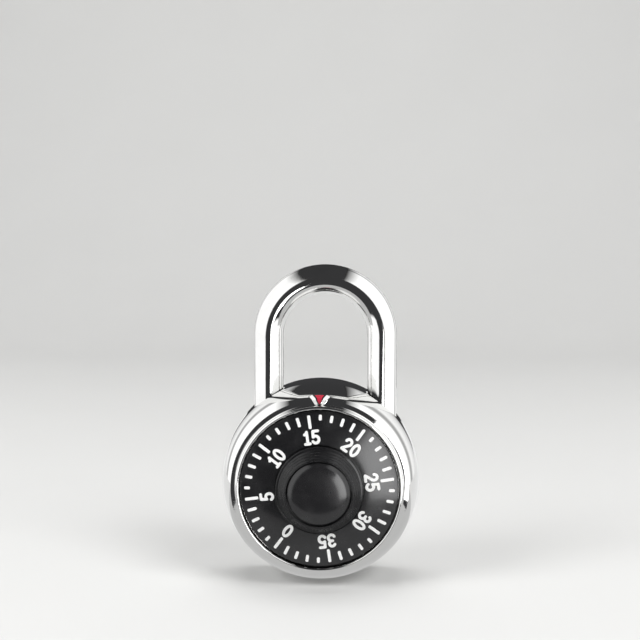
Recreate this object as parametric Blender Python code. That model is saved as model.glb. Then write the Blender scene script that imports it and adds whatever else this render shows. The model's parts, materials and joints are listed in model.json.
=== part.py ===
"""Single-dial combination padlock with a 48 mm round case.

The front (dial) faces -Y, the shackle points up +Z, and the origin is the centre of the back
plate's outer face, on the dial's axis. Sizes are in millimetres. A depth is a distance from the
back face towards the dial, so a point at depth d lies at y = -d.
"""

import math

import bmesh
import bpy
from mathutils import Matrix, Vector

MM = 0.001
GAP = 0.3  # clearance between neighbouring pieces
PAST = 1.0  # how far a cutter goes on past what it cuts

# Outer case
CASE_RADIUS = 24.0
CASE_WALL = 0.8
BAND_DEPTH = 8.5  # the straight band ends here and the dome begins
DOME_DROP = 5.37  # how far the dome's quarter ellipse would close in
DOME_END = 61.0  # degrees of that ellipse which are used
SHELF_RISE = 0.12  # the shelf between the dome and the lip rises this much
LIP_STAND = 1.8  # how far the rolled lip stands above the end of the dome
LIP_WIDTH = 0.85
LIP_INSET = 4.9  # from the case's side to the dial's recess
DIAL_SINK = 1.6  # from the lip's front to the recess's floor
CRIMP_WIDTH = 1.6  # rolled rear edge over the back plate
CRIMP_SET = 0.1  # rear edge stands this far in front of the back face
CRIMP_BEVEL = 0.2
EDGE_ROUND = 1.0  # rounding of the case's rear edge
LIP_ROUND = 0.3
INNER_DOME_END = 60.0  # degrees of the dome that its inner surface follows
WEB_ROUND = 0.4
INDEX_WIDTH = 3.4
INDEX_TIP = 65.0  # the index wedge runs between these degrees of the dome
INDEX_ROOT = 46.0
INDEX_LIFT = 0.5
INDEX_SINK = 0.6

# Back plate
BACK_INSET = 3.1  # from the case's side to the back plate's raised middle
BACK_WALL = 1.0
BACK_DRAFT = 0.9  # the step down to the rim slopes outwards this much
BACK_SPREAD = 0.5

# Inner case
INNER_GAP = 1.7  # between the case's inner wall and the inner case
INNER_WALL = 0.8
INNER_CHAMFER = 2.0
INNER_TAPER = 0.8  # the chamfer's width for each millimetre of its depth
INNER_CLEAR = 0.4  # between the inner case and the case's front and the back plate

# Shackle
BAR_RADIUS = 3.57
LEG_SPACING = 27.74
SHACKLE_SHIFT = 1.07  # the bow stands a little to the heel side
LEG_CLEAR = 0.43  # between the legs and the mounting plate
CROWN_TOP = 52.6
TOE_INSET = 9.2  # toe tip below the case's top, measured at the toe's inner side
HEEL_PAST = 2.3  # the heel goes on this far below its clip
TIP_CHAMFER = 0.6
LIFT = 9.7
NOTCH_DEPTH = 1.95
NOTCH_RISE = 5.396  # from the toe's tip to the top of its notch
NOTCH_SLOPE = 1.6  # the notch's lower ledge drops this much for each millimetre outwards
CLIP_GROOVE = 0.95
CLIP_WIDTH = 1.0
CLIP_REACH = 1.0  # how far the clip stands out of the bar
CLIP_OPEN = 50  # degrees of the clip's opening on each side
GUIDE_OUT = 3.33  # the guide's reach from the heel's inner side
GUIDE_IN = 1.17
GUIDE_LOW = 0.67  # the guide's front, below the front of the bar
GUIDE_RIVET_OUT = 1.9  # its rivet's distance from the heel's inner side

# Dial and knob
DIAL_WALL = 1.0
DIAL_BEVEL = 0.25
DIAL_FALL = 0.6  # the dial's face is a shallow cone that falls away this much to its edge
KNOB_BASE_RADIUS = 10.4
KNOB_TOP_RADIUS = 8.25
KNOB_FOOT = 0.9
KNOB_HEIGHT = 5.4  # above the dial's face
KNOB_RIDGES = 4
RIDGE_DEPTH = 0.28
RIDGE_HALF = 0.24  # half of a ridge's width, as a share of the spacing
RIM_WALL = 0.25
CAP_RADIUS = 7.45
CAP_WALL = 0.95
CAP_CROWN = 0.2
CAP_ROUND = 0.25
KNOB_ROUND = 0.15
SPINDLE_RADIUS = 2.0
SPINDLE_ENTRY = 3.0  # how far the spindle reaches behind the rear wheel

# Wheel stack
WHEEL_RADIUS = 12.5
WHEEL_WALL = 1.1
CAM_WALL = 1.2
STACK_CLEAR = 0.8  # between the fence pin's collar and the rear wheel
CAM_CLEAR = 0.2  # between the cam and the bushing's flange
BUSHING_FLANGE = 0.5
BUSHING_WALL = 1.5
BUSHING_REACH = 1.5  # of its flange, past its barrel
SPACER_WALL = 0.4
SPACER_RADIUS = 6.8
POST_RADIUS = 4.0
SHOULDER_RADIUS = 5.2
SHOULDER_DROP = 2.0  # from the rear wheel down to the post's shoulder
SPINDLE_FLOOR = 0.5  # under the spindle's end, in the post
WASHER_WALL = 0.3
WASHER_SWING = 0.2
WASHER_RISE = 0.75  # of the wave washer's middle above the shoulder
PEG_ROOT = 0.5  # of a peg, sunk in its wheel
FALSE_GATE_NARROW = 1.0  # a false gate is narrower than a true one
KEYWAY_FOOT = 0.4
FLANGE_RADIUS = 8.6
FLANGE_WALL = 0.9
KEY_WIDTH = 1.2
KEY_REACH = 0.6
PEG_RING = 9.0
PEG_RADIUS = 0.9
PEG_LENGTH = 0.7
GATE_WIDTH = 3.4
GATE_DEPTH = 2.8
FALSE_GATE_DEPTH = 0.9
FALSE_GATES = 11
MIDDLE_PEG_TURN = 130.0  # degrees from the cam's peg to the middle wheel's front peg
REAR_PEG_TURN = 115.0  # degrees from the middle wheel's rear peg to the rear wheel's peg
CAM_PEG_AT = 200.0
MIDDLE_REAR_PEG_AT = 60.0

# Lock work
PLATE_REAR = 1.3
PLATE_WALL = 0.9
PLATE_CLEAR = 0.7  # between the mounting plate and the inner case
PIVOT_INSET = 1.97  # the pin's distance from the toe's inner side
PIVOT_DROP = 4.954  # and below the toe's tip
PIVOT_RADIUS = 1.2
PIN_STEP = 0.5  # the pin's collar is this much smaller than the eyes
EYE_RADIUS = 2.6
LATCH_WALL = 2.4
LATCH_WIDTH = 2.93
NOSE_CLEAR = 0.35  # above the nose in its notch
NOSE_HEIGHT = 1.7
NOSE_BITE = 1.7  # how far the nose reaches into the bar
LEVER_WALL = 1.5
LEVER_WIDTH = 3.2
FENCE_RADIUS = 0.9
FENCE_GAP = 0.45
FENCE_ANGLE = 4.14  # degrees from the top, towards the toe
FENCE_PAST = 0.5  # the fence pin reaches this far in front of the cam
COLLAR_WALL = 0.7
TAIL_INSET = 5.37  # from the heel's inner side to the lever's tail
TAIL_RISE = 0.99  # from the fence pin up to the tail
SEAT_RADIUS = 1.2
SEAT_HEAD = 1.8
SEAT_CLEAR = 0.33  # between the spring's seat and the post's flange
GUIDE_TOP = 8.7
GUIDE_WALL = 3.0
RIVET_RADIUS = 0.7
RIVET_RING = 7.0
RIVET_HEAD = 0.6
RIVET_REACH = 0.6  # of a rivet's head, past its shank
HEAD_ROUND = 0.2
SHANK_SET = 0.05  # a shank ends this far inside the plate's rear face
STUD_STEP = 0.4  # a stud's shank is this much thinner than its pin
COLLAR = 0.6
RING_WALL = 0.5
HOOK_RADIUS = 0.8
HOOK_HEAD = 1.3
HOOK_HEIGHT = 3.0
HOOK_PLACE = (-0.8, -5.4)  # from the pivot to the latch spring's post
LATCH_COIL = 2.05
LATCH_TURNS = 2.4
LATCH_WIRE = 0.22
LEVER_COIL = 1.0
LEVER_TURNS = 3.0
LEVER_WIRE = 0.2

# Worked out from the values above
CASE_BORE = CASE_RADIUS - CASE_WALL
RECESS_RADIUS = CASE_RADIUS - LIP_INSET
PLATE_FRONT = PLATE_REAR + PLATE_WALL
SEAT = PLATE_FRONT + GAP  # where pieces that stand on the mounting plate begin
SHACKLE_DEPTH = PLATE_FRONT + LEG_CLEAR + BAR_RADIUS
LATCH_REAR = SHACKLE_DEPTH - LATCH_WALL / 2
LEVER_REAR = LATCH_REAR + LATCH_WALL + GAP
LEVER_FRONT = LEVER_REAR + LEVER_WALL
WHEEL_REAR = LEVER_FRONT + GAP + COLLAR_WALL + STACK_CLEAR
MIDDLE_REAR = WHEEL_REAR + WHEEL_WALL + SPACER_WALL + 2 * GAP
CAM_REAR = MIDDLE_REAR + WHEEL_WALL + SPACER_WALL + 2 * GAP
CAM_FRONT = CAM_REAR + CAM_WALL
FLANGE_REAR = CAM_FRONT + CAM_CLEAR
INNER_FRONT = FLANGE_REAR + BUSHING_FLANGE + GAP + INNER_WALL
WEB_REAR = INNER_FRONT + INNER_CLEAR
RECESS_DEPTH = WEB_REAR + CASE_WALL
LIP_DEPTH = RECESS_DEPTH + DIAL_SINK
DOME_RISE = (LIP_DEPTH - LIP_STAND - BAND_DEPTH) / math.sin(math.radians(DOME_END))
DIAL_RADIUS = RECESS_RADIUS - GAP
DIAL_REAR = RECESS_DEPTH + GAP
DIAL_FACE = DIAL_REAR + DIAL_WALL
KNOB_FACE = DIAL_FACE + KNOB_HEIGHT
KNOB_REAR = DIAL_REAR + DIAL_WALL / 2 + GAP
INNER_RADIUS = CASE_BORE - INNER_GAP
INNER_BORE = INNER_RADIUS - INNER_WALL
BACK_FLAT = CASE_RADIUS - BACK_INSET
PLATE_RADIUS = INNER_BORE - PLATE_CLEAR
RIM_REAR = CRIMP_SET + CASE_WALL + GAP
RIM_FRONT = RIM_REAR + BACK_WALL
BUSHING_RADIUS = SPINDLE_RADIUS + GAP + BUSHING_WALL
SPINDLE_BORE = SPINDLE_RADIUS + GAP
TOE_X = SHACKLE_SHIFT - LEG_SPACING / 2
HEEL_X = SHACKLE_SHIFT + LEG_SPACING / 2
TOE_INNER = TOE_X + BAR_RADIUS
TOE_TIP = math.sqrt(CASE_RADIUS**2 - TOE_INNER**2) - TOE_INSET
BOW_RADIUS = LEG_SPACING / 2
BOW_CENTRE = CROWN_TOP - BAR_RADIUS - BOW_RADIUS
SHOULDER_TOP = WHEEL_REAR - SHOULDER_DROP
SPINDLE_REAR = WHEEL_REAR - SPINDLE_ENTRY
POST_TOP = CAM_REAR - GAP
WHEEL_BORE = POST_RADIUS + GAP
FENCE_RING = WHEEL_RADIUS + FENCE_GAP + FENCE_RADIUS
FENCE = (
    -FENCE_RING * math.sin(math.radians(FENCE_ANGLE)),
    FENCE_RING * math.cos(math.radians(FENCE_ANGLE)),
)
FENCE_END = CAM_FRONT + FENCE_PAST
TAIL = (HEEL_X - BAR_RADIUS - TAIL_INSET, FENCE[1] + TAIL_RISE)
SPRING_SEAT = (TAIL[0], math.sqrt((FLANGE_RADIUS + SEAT_HEAD + SEAT_CLEAR) ** 2 - TAIL[0] ** 2))
PIVOT = (TOE_INNER - PIVOT_INSET, TOE_TIP - PIVOT_DROP)
NOTCH_TOP = TOE_TIP + NOTCH_RISE
NOSE_TIP = TOE_INNER - NOSE_BITE
NOSE_TOP = NOTCH_TOP - NOSE_CLEAR
ARM_LEFT = TOE_INNER + GAP
NOSE_FOOT = NOSE_TOP - NOSE_HEIGHT
GUIDE_FOOT = GUIDE_TOP - GUIDE_WALL
CLIP_TOP = GUIDE_FOOT - GAP - LIFT
HEEL_TIP = CLIP_TOP - CLIP_WIDTH - HEEL_PAST

FINISHES = {}


def clear_scene():
    for thing in list(bpy.data.objects):
        bpy.data.objects.remove(thing, do_unlink=True)


def material(name, colour, roughness, metallic):
    made = bpy.data.materials.new(name)
    made.use_nodes = True
    shader = made.node_tree.nodes["Principled BSDF"]
    shader.inputs["Base Color"].default_value = (*colour, 1.0)
    shader.inputs["Roughness"].default_value = roughness
    shader.inputs["Metallic"].default_value = metallic
    made.diffuse_color = (*colour, 1.0)
    FINISHES[name] = made


def make_materials():
    material("polished_steel", (0.80, 0.80, 0.79), 0.08, 1.0)
    material("black_enamel", (0.012, 0.012, 0.013), 0.22, 0.0)
    material("zinc_plate", (0.62, 0.63, 0.62), 0.35, 1.0)
    material("brass", (0.78, 0.58, 0.28), 0.30, 1.0)
    material("spring_steel", (0.42, 0.42, 0.44), 0.30, 1.0)
    material("nylon", (0.85, 0.84, 0.80), 0.55, 0.0)


def placed(name, mesh, finish, at=(0.0, 0.0)):
    """An object whose origin stands at x, z on its turning axis; its mesh is in world millimetres."""
    shift = Vector((at[0], 0.0, at[1]))
    mesh.transform(Matrix.Scale(MM, 4) @ Matrix.Translation(-shift))
    made = bpy.data.objects.new(name, mesh)
    made.location = shift * MM
    bpy.context.scene.collection.objects.link(made)
    if finish:
        mesh.materials.append(FINISHES[finish])
        mesh.shade_smooth()
        mesh.set_sharp_from_angle(angle=math.radians(35))
    return made


def closed_mesh(name, bm):
    bmesh.ops.remove_doubles(bm, verts=bm.verts, dist=1e-4)
    bmesh.ops.recalc_face_normals(bm, faces=bm.faces)
    if bm.calc_volume(signed=True) < 0:
        bmesh.ops.reverse_faces(bm, faces=bm.faces)
    mesh = bpy.data.meshes.new(name)
    bm.to_mesh(mesh)
    bm.free()
    return mesh


def turned(name, profile, finish, centre=(0.0, 0.0), steps=48, at=None):
    """Spin (radius, depth) points about the axis through centre. Two ends on the axis stay open."""
    bm = bmesh.new()
    verts = [bm.verts.new((centre[0] + r, -d, centre[1])) for r, d in profile]
    edges = [bm.edges.new(pair) for pair in zip(verts, verts[1:])]
    if profile[0][0] > 0 or profile[-1][0] > 0:
        edges.append(bm.edges.new((verts[-1], verts[0])))
    bmesh.ops.spin(
        bm,
        geom=verts + edges,
        cent=(centre[0], 0.0, centre[1]),
        axis=(0.0, 1.0, 0.0),
        angle=2 * math.pi,
        steps=steps,
        use_merge=True,
    )
    return placed(name, closed_mesh(name, bm), finish, at or centre)


def disc(name, radius, rear, front, finish, centre=(0.0, 0.0), steps=24, at=None):
    profile = [(0, rear), (radius, rear), (radius, front), (0, front)]
    return turned(name, profile, finish, centre, steps, at)


def ring(name, bore, radius, rear, front, finish, centre=(0.0, 0.0), steps=32):
    profile = [(bore, rear), (radius, rear), (radius, front), (bore, front)]
    return turned(name, profile, finish, centre, steps)


def plate(name, outline, rear, front, finish, at=(0.0, 0.0)):
    """Extrude an outline of (x, z) points from one depth to another."""
    bm = bmesh.new()
    face = bm.faces.new([bm.verts.new((x, -rear, z)) for x, z in outline])
    grown = bmesh.ops.extrude_face_region(bm, geom=[face])
    moved = [item for item in grown["geom"] if isinstance(item, bmesh.types.BMVert)]
    bmesh.ops.translate(bm, verts=moved, vec=(0.0, rear - front, 0.0))
    return placed(name, closed_mesh(name, bm), finish, at)


def block(name, low, high, finish=None, turn=0.0):
    """A box between two (x, depth, z) corners, turned clockwise about the dial's axis."""
    bm = bmesh.new()
    size = [abs(b - a) for a, b in zip(low, high)]
    middle = [(a + b) / 2 for a, b in zip(low, high)]
    place = Matrix.Translation((middle[0], -middle[1], middle[2]))
    spin = Matrix.Rotation(math.radians(turn), 4, "Y")
    bmesh.ops.create_cube(bm, size=1.0, matrix=spin @ place @ Matrix.Diagonal((*size, 1.0)))
    return placed(name, closed_mesh(name, bm), finish)


def bar(name, radius, x, depth, foot, top, steps=32):
    """An upright round bar, for the shackle's holes."""
    bm = bmesh.new()
    bmesh.ops.create_cone(
        bm,
        cap_ends=True,
        segments=steps,
        radius1=radius,
        radius2=radius,
        depth=top - foot,
        matrix=Matrix.Translation((x, -depth, (foot + top) / 2)),
    )
    return placed(name, closed_mesh(name, bm), None)


def swept(name, stations, radius_of, finish, sides=20):
    """Join rings set square to a route in the X-Z plane. A station is x, z and a heading in degrees."""
    bm = bmesh.new()
    rings = []
    for n, (x, z, heading) in enumerate(stations):
        across = Vector((math.cos(math.radians(heading)), 0.0, -math.sin(math.radians(heading))))
        centre = Vector((x, -SHACKLE_DEPTH, z))
        made = []
        for k in range(sides):
            angle = 2 * math.pi * k / sides
            offset = across * math.cos(angle) + Vector((0.0, 1.0, 0.0)) * math.sin(angle)
            made.append(bm.verts.new(centre + offset * radius_of(n)))
        rings.append(made)
    for here, there in zip(rings, rings[1:]):
        for k in range(sides):
            bm.faces.new((here[k], here[(k + 1) % sides], there[(k + 1) % sides], there[k]))
    bm.faces.new(rings[0])
    bm.faces.new(rings[-1])
    return placed(name, closed_mesh(name, bm), finish)


def wire(name, points, radius, finish):
    """A bent wire through (x, depth, z) points."""
    curve = bpy.data.curves.new(name, "CURVE")
    curve.dimensions = "3D"
    curve.bevel_depth = radius * MM
    curve.bevel_resolution = 1
    curve.use_fill_caps = True
    spline = curve.splines.new("POLY")
    spline.points.add(len(points) - 1)
    for point, (x, depth, z) in zip(spline.points, points):
        point.co = (x * MM, -depth * MM, z * MM, 1.0)
    curve.materials.append(FINISHES[finish])
    made = bpy.data.objects.new(name, curve)
    bpy.context.scene.collection.objects.link(made)
    return made


def cutter(thing):
    thing.hide_render = True
    thing.display_type = "WIRE"
    return thing


def combine(target, tool, operation="DIFFERENCE"):
    change = target.modifiers.new(tool.name, "BOOLEAN")
    change.operation = operation
    change.solver = "EXACT"
    change.object = cutter(tool)


def arc(centre, radius, start, end, steps):
    """Points of an arc from one angle to another, in degrees, anticlockwise from +X."""
    out = []
    for n in range(steps + 1):
        angle = math.radians(start + (end - start) * n / steps)
        out.append((centre[0] + radius * math.cos(angle), centre[1] + radius * math.sin(angle)))
    return out


def on_ring(radius, degrees):
    """A point at an angle clockwise from the top, seen from the dial's side."""
    return (radius * math.sin(math.radians(degrees)), radius * math.cos(math.radians(degrees)))


def dome(degrees, inset=0.0):
    """A (radius, depth) point of the case's dome, or of the surface inset behind it."""
    c, s = math.cos(math.radians(degrees)), math.sin(math.radians(degrees))
    normal = Vector((c / DOME_DROP, s / DOME_RISE)).normalized()
    radius = CASE_RADIUS - DOME_DROP * (1 - c) - normal.x * inset
    return (radius, BAND_DEPTH + DOME_RISE * s - normal.y * inset)


def leg_holes(target, name):
    clear = BAR_RADIUS + GAP
    top = CASE_RADIUS + 3
    combine(target, bar(name + "_toe_hole", clear, TOE_X, SHACKLE_DEPTH, TOE_TIP - 2, top))
    combine(target, bar(name + "_heel_hole", clear, HEEL_X, SHACKLE_DEPTH, HEEL_TIP - 3, top))


def quarter(size, steps=3):
    """Offsets round a quarter circle, from its lower end to its outer one."""
    out = []
    for n in range(steps + 1):
        angle = math.pi / 2 * n / steps
        out.append((size * (1 - math.sin(angle)), size * math.cos(angle)))
    return out


def outer_case():
    outer = [dome(DOME_END * n / 8) for n in range(9)]
    inner = [dome(INNER_DOME_END * n / 3, CASE_WALL) for n in range(4)]
    lip_out = RECESS_RADIUS + LIP_WIDTH
    rear = CRIMP_SET
    crimp_bore = CASE_RADIUS - CRIMP_WIDTH
    profile = [
        (CASE_BORE, RIM_REAR - GAP),
        (crimp_bore, RIM_REAR - GAP),
        (crimp_bore, rear + CRIMP_BEVEL),
        (crimp_bore + CRIMP_BEVEL, rear),
        *((CASE_RADIUS - x, rear + EDGE_ROUND - y) for x, y in quarter(EDGE_ROUND)),
        *outer,
        (lip_out, outer[-1][1] + SHELF_RISE),
        (lip_out, LIP_DEPTH - LIP_ROUND),
        (lip_out - LIP_WIDTH / 2, LIP_DEPTH),
        (RECESS_RADIUS, LIP_DEPTH - LIP_ROUND),
        (RECESS_RADIUS, RECESS_DEPTH),
        (BUSHING_RADIUS + GAP, RECESS_DEPTH),
        (BUSHING_RADIUS + GAP, WEB_REAR),
        (inner[-1][0] - WEB_ROUND, WEB_REAR),
        *reversed(inner),
    ]
    case = turned("outer_case", profile, "polished_steel", steps=60)
    leg_holes(case, "case")
    index_mark(case)


def index_mark(case):
    """A raised triangle at the top of the dome, pointing at the dial."""
    tip, root = dome(INDEX_TIP), dome(INDEX_ROOT)
    slope = Vector((0.0, tip[1] - root[1], root[0] - tip[0])).normalized()
    out = Vector((0.0, -slope.z, slope.y))
    foot, head = Vector((0.0, -tip[1], tip[0])), Vector((0.0, -root[1], root[0]))
    half = Vector((INDEX_WIDTH / 2, 0.0, 0.0))
    bm = bmesh.new()
    corners = [corner - out * INDEX_SINK for corner in (foot, head + half, head - half)]
    face = bm.faces.new([bm.verts.new(corner) for corner in corners])
    grown = bmesh.ops.extrude_face_region(bm, geom=[face])
    moved = [item for item in grown["geom"] if isinstance(item, bmesh.types.BMVert)]
    bmesh.ops.translate(bm, verts=moved, vec=out * (INDEX_SINK + INDEX_LIFT))
    combine(case, placed("index_wedge", closed_mesh("index_wedge", bm), None), "UNION")


def back_plate():
    rim = CASE_BORE - GAP
    profile = [
        (0, 0),
        (BACK_FLAT, 0),
        (BACK_FLAT + BACK_DRAFT, RIM_REAR),
        (rim, RIM_REAR),
        (rim, RIM_FRONT),
        (BACK_FLAT + BACK_SPREAD, RIM_FRONT),
        (BACK_FLAT - BACK_SPREAD, BACK_WALL),
        (0, BACK_WALL),
    ]
    turned("back_plate", profile, "polished_steel", steps=60)


def inner_case():
    rear = RIM_FRONT + INNER_CLEAR
    profile = [
        (INNER_RADIUS, rear),
        (INNER_RADIUS, INNER_FRONT - INNER_CHAMFER),
        (INNER_RADIUS - INNER_TAPER * INNER_CHAMFER, INNER_FRONT),
        (BUSHING_RADIUS + GAP, INNER_FRONT),
        (BUSHING_RADIUS + GAP, INNER_FRONT - INNER_WALL),
        (INNER_BORE - INNER_TAPER * INNER_CHAMFER + GAP, INNER_FRONT - INNER_WALL),
        (INNER_BORE, INNER_FRONT - INNER_CHAMFER - GAP),
        (INNER_BORE, rear),
    ]
    leg_holes(turned("inner_case", profile, "zinc_plate", steps=48), "liner")


def dial_bushing():
    flange = INNER_FRONT - INNER_WALL - GAP
    profile = [
        (SPINDLE_BORE, FLANGE_REAR),
        (BUSHING_RADIUS + BUSHING_REACH, FLANGE_REAR),
        (BUSHING_RADIUS + BUSHING_REACH, flange),
        (BUSHING_RADIUS, flange),
        (BUSHING_RADIUS, RECESS_DEPTH),
        (SPINDLE_BORE, RECESS_DEPTH),
    ]
    turned("dial_bushing", profile, "brass", steps=28)


def shackle():
    """The bow, bent from round bar, then notched for the latch and grooved for the heel clip."""
    stations = [(TOE_X, TOE_TIP, 0.0), (TOE_X, TOE_TIP + TIP_CHAMFER, 0.0)]
    bends = 20
    for n in range(bends + 1):
        heading = 180.0 * n / bends
        x = SHACKLE_SHIFT - BOW_RADIUS * math.cos(math.radians(heading))
        z = BOW_CENTRE + BOW_RADIUS * math.sin(math.radians(heading))
        stations.append((x, z, heading))
    stations += [(HEEL_X, HEEL_TIP + TIP_CHAMFER, 180.0), (HEEL_X, HEEL_TIP, 180.0)]
    ends = (0, len(stations) - 1)

    def bar_radius(n):
        return BAR_RADIUS - TIP_CHAMFER if n in ends else BAR_RADIUS

    bow = swept("shackle", stations, bar_radius, "polished_steel", sides=20)
    mouth = TOE_INNER + PAST
    notch = [
        (TOE_INNER - NOTCH_DEPTH, NOTCH_TOP),
        (mouth, NOTCH_TOP),
        (mouth, NOSE_FOOT - NOTCH_SLOPE * (NOTCH_DEPTH + PAST)),
        (TOE_INNER - NOTCH_DEPTH, NOSE_FOOT),
    ]
    front = SHACKLE_DEPTH + BAR_RADIUS + PAST
    rear = SHACKLE_DEPTH - BAR_RADIUS - PAST
    combine(bow, plate("toe_notch", notch, rear, front, None))
    bm = bmesh.new()
    groove = []
    for radius in (BAR_RADIUS + PAST, BAR_RADIUS - CLIP_GROOVE):
        for z in (CLIP_TOP - CLIP_WIDTH - GAP, CLIP_TOP + GAP):
            groove.append((radius, z))
    loop = [groove[0], groove[1], groove[3], groove[2]]
    verts = [bm.verts.new((HEEL_X + r, -SHACKLE_DEPTH, z)) for r, z in loop]
    edges = [bm.edges.new(pair) for pair in zip(verts, verts[1:] + verts[:1])]
    bmesh.ops.spin(
        bm,
        geom=verts + edges,
        cent=(HEEL_X, -SHACKLE_DEPTH, 0.0),
        axis=(0.0, 0.0, 1.0),
        angle=2 * math.pi,
        steps=24,
        use_merge=True,
    )
    combine(bow, placed("clip_groove", closed_mesh("clip_groove", bm), None))


def heel_clip():
    """A C-shaped ring in the heel's groove, open towards the case wall."""
    bore = BAR_RADIUS - CLIP_GROOVE + GAP
    radius = BAR_RADIUS + CLIP_REACH
    end = 360 - CLIP_OPEN
    outline = arc((0, 0), radius, CLIP_OPEN, end, 20) + arc((0, 0), bore, end, CLIP_OPEN, 16)
    bm = bmesh.new()
    verts = [bm.verts.new((HEEL_X + x, y - SHACKLE_DEPTH, CLIP_TOP - CLIP_WIDTH)) for x, y in outline]
    grown = bmesh.ops.extrude_face_region(bm, geom=[bm.faces.new(verts)])
    moved = [item for item in grown["geom"] if isinstance(item, bmesh.types.BMVert)]
    bmesh.ops.translate(bm, verts=moved, vec=(0.0, 0.0, CLIP_WIDTH))
    placed("heel_clip", closed_mesh("heel_clip", bm), "spring_steel")


def shackle_guide():
    """A saddle beside the heel leg, which the clip meets when the shackle is up."""
    left, right = HEEL_X - BAR_RADIUS - GUIDE_OUT, HEEL_X - BAR_RADIUS + GUIDE_IN
    front = SHACKLE_DEPTH + BAR_RADIUS - GUIDE_LOW
    saddle = block("shackle_guide", (left, SEAT, GUIDE_FOOT), (right, front, GUIDE_TOP), "zinc_plate")
    clear = BAR_RADIUS + GAP
    hole = bar("saddle_bore", clear, HEEL_X, SHACKLE_DEPTH, GUIDE_FOOT - PAST, GUIDE_TOP + PAST)
    combine(saddle, hole)
    place = guide_rivet_place()
    hole = disc("saddle_hole", RIVET_RADIUS + GAP, SEAT - PAST, front + PAST, None, place, 12)
    combine(saddle, hole)
    rivet("guide_rivet", place, front + GAP)


def guide_rivet_place():
    return (HEEL_X - BAR_RADIUS - GUIDE_RIVET_OUT, (GUIDE_TOP + GUIDE_FOOT) / 2)


def knob_profile():
    """Foot, ridged flank and rim of the knob, as (radius, depth) points from its bore outwards."""
    bore = SPINDLE_BORE
    foot = DIAL_FACE + KNOB_FOOT
    rim = KNOB_FACE - RIM_WALL
    profile = [(bore, KNOB_REAR), (KNOB_BASE_RADIUS, KNOB_REAR), (KNOB_BASE_RADIUS, foot)]
    for n in range(KNOB_RIDGES):
        for side, drop in ((-1, RIDGE_DEPTH), (0, 0.0), (1, RIDGE_DEPTH)):
            t = (n + 0.5 + side * RIDGE_HALF) / KNOB_RIDGES
            radius = KNOB_BASE_RADIUS + (KNOB_TOP_RADIUS - KNOB_BASE_RADIUS) * t
            profile.append((radius - drop, foot + (rim - foot) * t))
    seat = CAP_RADIUS + GAP
    floor = KNOB_FACE - CAP_WALL - GAP
    return profile + [
        (KNOB_TOP_RADIUS, rim),
        (KNOB_TOP_RADIUS - KNOB_ROUND, KNOB_FACE),
        (seat, KNOB_FACE),
        (seat, floor),
        (bore, floor),
    ]


def dial_parts():
    recess = KNOB_BASE_RADIUS + GAP
    profile = [
        (SPINDLE_BORE, DIAL_REAR),
        (DIAL_RADIUS, DIAL_REAR),
        (DIAL_RADIUS, DIAL_FACE - DIAL_FALL - DIAL_BEVEL),
        (DIAL_RADIUS - DIAL_BEVEL, DIAL_FACE - DIAL_FALL),
        (recess, DIAL_FACE),
        (recess, DIAL_REAR + DIAL_WALL / 2),
        (SPINDLE_BORE, DIAL_REAR + DIAL_WALL / 2),
    ]
    turned("dial_disc", profile, "black_enamel", steps=60)
    turned("knob", knob_profile(), "black_enamel", steps=36)
    cap = KNOB_FACE - CAP_WALL
    crowned = [(0, cap), (CAP_RADIUS, cap), (CAP_RADIUS, KNOB_FACE - CAP_ROUND / 2)]
    crowned += [(CAP_RADIUS - CAP_ROUND, KNOB_FACE), (CAP_RADIUS / 2, KNOB_FACE + 0.75 * CAP_CROWN)]
    turned("knob_cap", crowned + [(0, KNOB_FACE + CAP_CROWN)], "black_enamel", steps=36)
    disc("spindle", SPINDLE_RADIUS, SPINDLE_REAR, cap - GAP, "zinc_plate")


def gate_cutter(name, rear, front, turn, depth, width):
    low = (-width / 2, rear - PAST, WHEEL_RADIUS - depth)
    high = (width / 2, front + PAST, WHEEL_RADIUS + PAST)
    return block(name, low, high, turn=turn)


def peg(wheel, name, degrees, rear, front):
    combine(wheel, disc(name, PEG_RADIUS, rear, front, None, on_ring(PEG_RING, degrees), 12), "UNION")


def wheels():
    gate_at = -FENCE_ANGLE
    rear_front = WHEEL_REAR + WHEEL_WALL
    middle_front = MIDDLE_REAR + WHEEL_WALL
    rear = ring("wheel_rear", WHEEL_BORE, WHEEL_RADIUS, WHEEL_REAR, rear_front, "brass", steps=48)
    middle = ring("wheel_middle", WHEEL_BORE, WHEEL_RADIUS, MIDDLE_REAR, middle_front, "brass", steps=48)
    cam = ring("drive_cam", SPINDLE_BORE, WHEEL_RADIUS, CAM_REAR, CAM_FRONT, "zinc_plate", steps=48)
    stack = ((rear, WHEEL_REAR), (middle, MIDDLE_REAR), (cam, CAM_REAR))
    for wheel, start in stack:
        name = wheel.name + "_gate"
        combine(wheel, gate_cutter(name, start, start + CAM_WALL, gate_at, GATE_DEPTH, GATE_WIDTH))
    false_width = GATE_WIDTH - FALSE_GATE_NARROW
    for n in range(1, FALSE_GATES + 1):
        turn = gate_at + 360.0 * n / (FALSE_GATES + 1)
        name = f"false_gate_{n}"
        combine(cam, gate_cutter(name, CAM_REAR, CAM_FRONT, turn, FALSE_GATE_DEPTH, false_width))
    peg(cam, "cam_peg", CAM_PEG_AT, CAM_REAR - PEG_LENGTH, CAM_REAR + PEG_ROOT)
    middle_at = CAM_PEG_AT + MIDDLE_PEG_TURN
    peg(middle, "middle_front_peg", middle_at, middle_front - PEG_ROOT, middle_front + PEG_LENGTH)
    peg(middle, "middle_rear_peg", MIDDLE_REAR_PEG_AT, MIDDLE_REAR - PEG_LENGTH, MIDDLE_REAR + PEG_ROOT)
    rear_at = MIDDLE_REAR_PEG_AT + REAR_PEG_TURN
    peg(rear, "rear_peg", rear_at, rear_front - PEG_ROOT, rear_front + PEG_LENGTH)


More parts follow.
